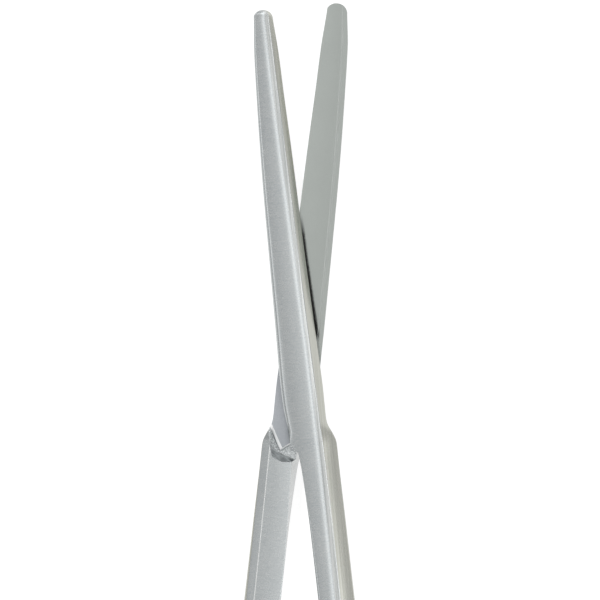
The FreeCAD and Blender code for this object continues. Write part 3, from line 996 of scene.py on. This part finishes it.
studio = {
    "photoSize": 600,
    "photoScale": 6.6,          # photo pixels for each millimetre
    "pivotPixel": (299.5, 415.0),
    "lens": 200.0,
    "sensor": 36.0,
    "clipStart": 0.01,
    "floorReach": 1.2,
    "floorColour": (0.20, 0.20, 0.20, 1.0),
    "floorRoughness": 0.9,
    "floorSeen": 0.90,          # lift of the floor for the camera
    "floorMirrored": 0.68,      # and in reflections
    # sideways part of the direction, brightness of the room there
    "room": [
        (-1.0, 0.50), (-0.80, 0.46), (-0.68, 0.52), (-0.63, 1.0), (-0.41, 1.0), (-0.36, 0.50),
        (-0.30, 0.44), (-0.17, 0.52), (0.0, 0.66), (0.12, 0.80), (0.19, 1.40), (0.30, 1.40),
        (0.37, 0.78), (0.57, 0.64), (0.63, 1.9), (0.73, 1.9), (0.79, 0.57), (0.90, 0.56),
        (1.0, 0.90),
    ],
    "roomTop": 2.0,             # brightness at the top of the curve
    # place and aim in metres, width, length, power, seen in reflections
    "lights": {
        "keyLight": ((0.26, 0.10, 0.70), (0.0, 0.05, 0.0), 0.10, 0.90, 0.10, True),
        "shadowLight": ((-0.27, 0.09, 0.60), (0.0, 0.05, 0.0), 0.02, 0.02, 2.20, False),
        "topLight": ((0.05, 0.75, 0.55), (0.0, 0.08, 0.0), 0.50, 0.15, 0.25, True),
        "leftLight": ((-0.55, 0.10, 0.45), (0.0, 0.05, 0.0), 0.20, 0.90, 0.10, True),
    },
}


def buildFloor():
    mesh = bpy.data.meshes.new("floor")
    reach = studio["floorReach"]
    corners = [(-reach, -reach, 0), (reach, -reach, 0), (reach, reach, 0), (-reach, reach, 0)]
    mesh.from_pydata(corners, [], [(0, 1, 2, 3)])
    floor = linked("floor", mesh)
    material = bpy.data.materials.new("paleFloor")
    material.use_nodes = True
    nodes, links = material.node_tree.nodes, material.node_tree.links
    shader = nodes["Principled BSDF"]
    shader.inputs["Base Color"].default_value = studio["floorColour"]
    shader.inputs["Roughness"].default_value = studio["floorRoughness"]
    shader.inputs["Specular IOR Level"].default_value = 0.0
    path = nodes.new("ShaderNodeLightPath").outputs
    seen = mathNode(nodes, links, "MULTIPLY", path["Is Camera Ray"], studio["floorSeen"])
    mirrored = mathNode(nodes, links, "ADD", path["Is Glossy Ray"], path["Is Transmission Ray"],
                        clamp=True)
    mirrored = mathNode(nodes, links, "MULTIPLY", mirrored, studio["floorMirrored"])
    lift = mathNode(nodes, links, "ADD", seen, mirrored)
    shader.inputs["Emission Color"].default_value = (1.0, 1.0, 1.0, 1.0)
    links.new(lift, shader.inputs["Emission Strength"])
    mesh.materials.append(material)


def buildLight():
    world = bpy.data.worlds.new("studio")
    bpy.context.scene.world = world
    world.use_nodes = True
    nodes, links = world.node_tree.nodes, world.node_tree.links
    x, y, z = partsOf(nodes, links, nodes.new("ShaderNodeTexCoord").outputs["Generated"])
    curve = nodes.new("ShaderNodeFloatCurve")
    points = curve.mapping.curves[0].points
    stops = [((side + 1) / 2, level / studio["roomTop"]) for side, level in studio["room"]]
    points[0].location, points[1].location = stops[0], stops[-1]
    for stop in stops[1:-1]:
        points.new(*stop)
    curve.mapping.update()
    side = mathNode(nodes, links, "MULTIPLY", mathNode(nodes, links, "ADD", x, 1.0), 0.5)
    links.new(side, curve.inputs["Value"])
    level = mathNode(nodes, links, "MULTIPLY", curve.outputs["Value"], studio["roomTop"])
    backdrop = nodes["Background"]
    backdrop.inputs["Color"].default_value = (1.0, 1.0, 1.0, 1.0)
    links.new(level, backdrop.inputs["Strength"])
    for name, (place, aim, width, length, power, mirrored) in studio["lights"].items():
        lamp = bpy.data.lights.new(name, "AREA")
        lamp.shape = "RECTANGLE"
        lamp.size, lamp.size_y, lamp.energy = width, length, power
        holder = linked(name, lamp)
        holder.location = place
        holder.rotation_euler = (Vector(aim) - Vector(place)).to_track_quat("-Z", "Y").to_euler()
        holder.visible_glossy = mirrored


def buildCamera():
    camera = bpy.data.cameras.new("camera")
    camera.lens = studio["lens"]
    camera.sensor_width = studio["sensor"]
    camera.clip_start = studio["clipStart"]
    holder = linked("camera", camera)
    scale, middle = studio["photoScale"], studio["photoSize"] / 2
    distance = studio["photoSize"] / scale * mm * camera.lens / studio["sensor"]
    pixelX, pixelY = studio["pivotPixel"]
    holder.location = ((middle - pixelX) / scale * mm,
                       instrument["pivotY"] * mm + (pixelY - middle) / scale * mm,
                       instrument["meetingZ"] * mm + distance)
    bpy.context.scene.camera = holder


buildFloor()
buildLight()
buildCamera()
bpy.context.scene.view_settings.view_transform = "Standard"

print("scene ready")
